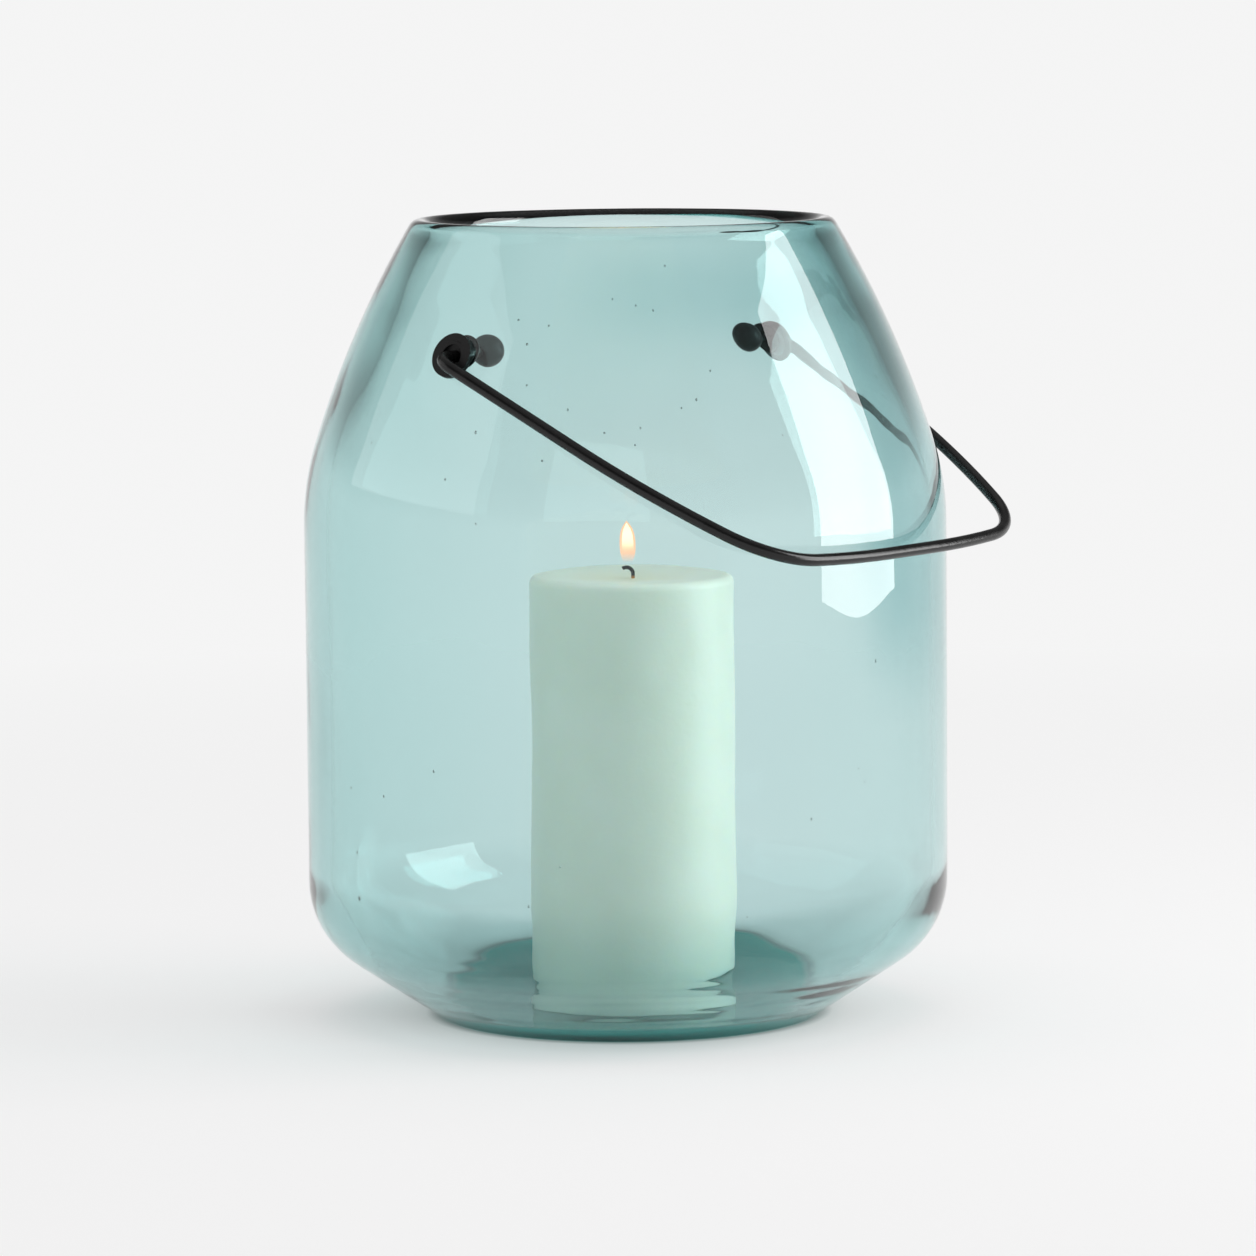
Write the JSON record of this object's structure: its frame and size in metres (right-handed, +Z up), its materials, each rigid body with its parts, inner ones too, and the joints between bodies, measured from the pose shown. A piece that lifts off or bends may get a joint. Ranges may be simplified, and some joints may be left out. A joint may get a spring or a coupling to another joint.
{
  "type": "hurricane lantern",
  "caption": "Blown glass hurricane lantern, tinted teal, with a swinging black wire bail on rubber grommets and a lit pillar candle standing free inside.",
  "frame": {"origin": "centre of the flat underside of the glass base", "axes": "+X along the bail's hinge line through the two drilled holes, -Y the side the bail rests over, +Z up along the vessel's axis"},
  "size_m": [0.235, 0.246, 0.292],
  "materials": {
    "tinted_glass": "clear teal, polished, with seed bubbles",
    "grommet_rubber": "satin black",
    "black_paint": "satin black powder coat on steel wire",
    "ball_rubber": "satin black",
    "wax": "smooth ivory paraffin wax",
    "wick": "charred cotton braid",
    "flame": "small steady candle flame; only the visual model shows it, no solid uses it"
  },
  "bodies": {
    "vessel": {"glass_vessel": "tinted_glass", "grommet_left": "grommet_rubber", "grommet_right": "grommet_rubber"},
    "bail": {"handle_wire": "black_paint", "ball_end_left": "ball_rubber", "ball_end_right": "ball_rubber"},
    "candle": {"candle_wax": "wax", "candle_wick": "wick"}
  },
  "joints": [
    {"name": "bail_swing", "type": "hinge", "parent": "vessel", "child": "bail", "pos_m": [0, 0, 0.247], "axis": [-1, 0, 0], "range_deg": [0, 238.2]},
    {"name": "candle_lift", "type": "slide", "parent": "vessel", "child": "candle", "axis": [0, 0, 1], "range_m": [0, 0.3]}
  ]
}
